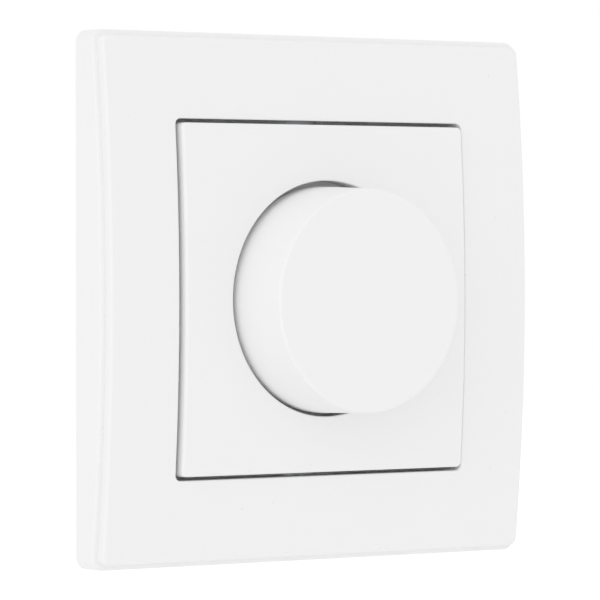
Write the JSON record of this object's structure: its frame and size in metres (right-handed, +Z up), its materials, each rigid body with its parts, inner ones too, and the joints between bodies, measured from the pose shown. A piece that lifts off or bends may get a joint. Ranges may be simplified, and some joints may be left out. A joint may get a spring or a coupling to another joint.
{
  "type": "rotary dimmer switch",
  "caption": "Flush wall dimmer: bulged square frame and centre plate, plain round push-and-turn knob, and a wall-box insert with spreading claws.",
  "frame": {"origin": "centre of the four wall-box screw holes, on the wall plane", "axes": "+Y into the wall, +Z up, +X to the right seen from the room"},
  "size_m": [0.082, 0.044, 0.082],
  "materials": {
    "white_plastic": "satin pure-white moulded plastic",
    "grey_plastic": "matt light grey moulded plastic",
    "black_plastic": "matt black heat-proof moulded plastic",
    "pale_plastic": "natural moulded plastic",
    "trimmer_blue": "blue moulded plastic",
    "zinc_steel": "zinc-plated pressed steel",
    "claw_steel": "zinc-plated bent steel",
    "spring_steel": "bare spring steel",
    "shaft_steel": "turned steel",
    "plated_brass": "nickel-plated brass",
    "contact_brass": "bright pressed brass",
    "copper": "bright copper",
    "carbon_track": "carbon film on laminate",
    "board_laminate": "lacquered glass-fibre board",
    "chip_resin": "black moulding resin",
    "aluminium": "mill-finish sheet",
    "pad_rubber": "grey silicone pad",
    "iron_powder": "coated iron-powder ring",
    "capacitor_box": "yellow moulded box",
    "capacitor_sleeve": "dark shrink sleeve",
    "fuse_glass": "clear glass tube"
  },
  "bodies": {
    "root": {"cover_frame": "white_plastic", "centre_plate": "white_plastic", "fixing_bushing": "plated_brass", "fixing_nut": "plated_brass", "nut_washer": "zinc_steel", "track_housing": "black_plastic", "resistance_track": "carbon_track", "track_legs": "contact_brass", "switch_housing": "black_plastic", "switch_spring": "spring_steel", "switch_contacts": "contact_brass", "support_ring": "zinc_steel", "housing_cover": "grey_plastic", "housing_base": "black_plastic", "housing_screws": "zinc_steel", "terminal_cover": "grey_plastic", "contact_bars": "contact_brass", "circuit_board": "board_laminate", "power_transistors": "chip_resin", "transistor_screws": "zinc_steel", "heat_sink": "aluminium", "insulating_pad": "pad_rubber", "choke_core": "iron_powder", "choke_winding": "copper", "film_capacitor": "capacitor_box", "storage_capacitor": "capacitor_sleeve", "fuse_tube": "fuse_glass", "fuse_wire": "contact_brass", "fuse_caps": "plated_brass", "fuse_clips": "spring_steel", "controller_chip": "chip_resin", "diodes": "chip_resin", "small_resistors": "chip_resin", "trimmer_body": "trimmer_blue"},
    "push_stem": {"switch_plunger": "pale_plastic", "contact_bridge": "copper"},
    "dial": {"knob": "white_plastic", "knob_spring_clip": "spring_steel", "control_shaft": "shaft_steel", "shaft_clip": "spring_steel"},
    "wiper": {"wiper_rotor": "pale_plastic", "wiper_contact": "contact_brass"},
    "trimmer": {"trimmer_rotor": "pale_plastic"},
    "clamp_screw_left": {"terminal_screw_left": "zinc_steel"},
    "clamp_cage_left": {"terminal_cage_left": "zinc_steel"},
    "clamp_screw_middle": {"terminal_screw_middle": "zinc_steel"},
    "clamp_cage_middle": {"terminal_cage_middle": "zinc_steel"},
    "clamp_screw_right": {"terminal_screw_right": "zinc_steel"},
    "clamp_cage_right": {"terminal_cage_right": "zinc_steel"},
    "spread_screw_left": {"claw_screw_left": "zinc_steel"},
    "spread_nut_left": {"claw_nut_left": "zinc_steel"},
    "spread_claw_left": {"claw_left": "claw_steel"},
    "spread_screw_right": {"claw_screw_right": "zinc_steel"},
    "spread_nut_right": {"claw_nut_right": "zinc_steel"},
    "spread_claw_right": {"claw_right": "claw_steel"}
  },
  "joints": [
    {"name": "knob_push", "type": "slide", "parent": "root", "child": "push_stem", "axis": [0, 1, 0], "range_m": [0, 0.0012], "stiffness_N_per_m": 2000, "springref_m": -0.002, "deforming": ["switch_spring"]},
    {"name": "knob_turn", "type": "hinge", "parent": "push_stem", "child": "dial", "pos_m": [0, 0, -0.0002], "axis": [0, 1, 0], "range_deg": [0, 285]},
    {"name": "wiper_turn", "type": "hinge", "parent": "root", "child": "wiper", "pos_m": [0, 0.0023, -0.0002], "axis": [0, 1, 0], "range_deg": [0, 285]},
    {"name": "trimmer_turn", "type": "hinge", "parent": "root", "child": "trimmer", "pos_m": [0.0118, 0.003, -0.0086], "axis": [0, 1, 0], "range_deg": [0, 270]},
    {"name": "terminal_screw_left_turn", "type": "hinge", "parent": "root", "child": "clamp_screw_left", "pos_m": [-0.0095, 0.0209, -0.0176], "axis": [0, -1, 0], "range_deg": [0, 1800.6]},
    {"name": "terminal_cage_left_lift", "type": "slide", "parent": "root", "child": "clamp_cage_left", "axis": [0, 1, 0], "range_m": [0, 0.0025]},
    {"name": "terminal_screw_middle_turn", "type": "hinge", "parent": "root", "child": "clamp_screw_middle", "pos_m": [0, 0.0209, -0.0176], "axis": [0, -1, 0], "range_deg": [0, 1800.6]},
    {"name": "terminal_cage_middle_lift", "type": "slide", "parent": "root", "child": "clamp_cage_middle", "axis": [0, 1, 0], "range_m": [0, 0.0025]},
    {"name": "terminal_screw_right_turn", "type": "hinge", "parent": "root", "child": "clamp_screw_right", "pos_m": [0.0095, 0.0209, -0.0176], "axis": [0, -1, 0], "range_deg": [0, 1800.6]},
    {"name": "terminal_cage_right_lift", "type": "slide", "parent": "root", "child": "clamp_cage_right", "axis": [0, 1, 0], "range_m": [0, 0.0025]},
    {"name": "claw_screw_left_turn", "type": "hinge", "parent": "root", "child": "spread_screw_left", "pos_m": [-0.0228, -0.001, 0], "axis": [0, 1, 0], "range_deg": [0, 2520.6]},
    {"name": "claw_nut_left_draw", "type": "slide", "parent": "root", "child": "spread_nut_left", "axis": [0, -1, 0], "range_m": [0, 0.0035]},
    {"name": "claw_left_spread", "type": "slide", "parent": "root", "child": "spread_claw_left", "axis": [-0.5812, -0.8137, 0], "range_m": [0, 0.0043]},
    {"name": "claw_screw_right_turn", "type": "hinge", "parent": "root", "child": "spread_screw_right", "pos_m": [0.0228, -0.001, 0], "axis": [0, 1, 0], "range_deg": [0, 2520.6]},
    {"name": "claw_nut_right_draw", "type": "slide", "parent": "root", "child": "spread_nut_right", "axis": [0, -1, 0], "range_m": [0, 0.0035]},
    {"name": "claw_right_spread", "type": "slide", "parent": "root", "child": "spread_claw_right", "axis": [0.5812, -0.8137, 0], "range_m": [0, 0.0043]}
  ],
  "couplings": [
    {"joint": "wiper_turn", "follows": "knob_turn", "ratio": 1},
    {"joint": "terminal_screw_left_turn", "follows": "terminal_cage_left_lift", "rad_per_m": 12566},
    {"joint": "terminal_screw_middle_turn", "follows": "terminal_cage_middle_lift", "rad_per_m": 12566},
    {"joint": "terminal_screw_right_turn", "follows": "terminal_cage_right_lift", "rad_per_m": 12566},
    {"joint": "claw_screw_left_turn", "follows": "claw_nut_left_draw", "rad_per_m": 12566},
    {"joint": "claw_left_spread", "follows": "claw_nut_left_draw", "ratio": 1.2289},
    {"joint": "claw_screw_right_turn", "follows": "claw_nut_right_draw", "rad_per_m": 12566},
    {"joint": "claw_right_spread", "follows": "claw_nut_right_draw", "ratio": 1.2289}
  ]
}
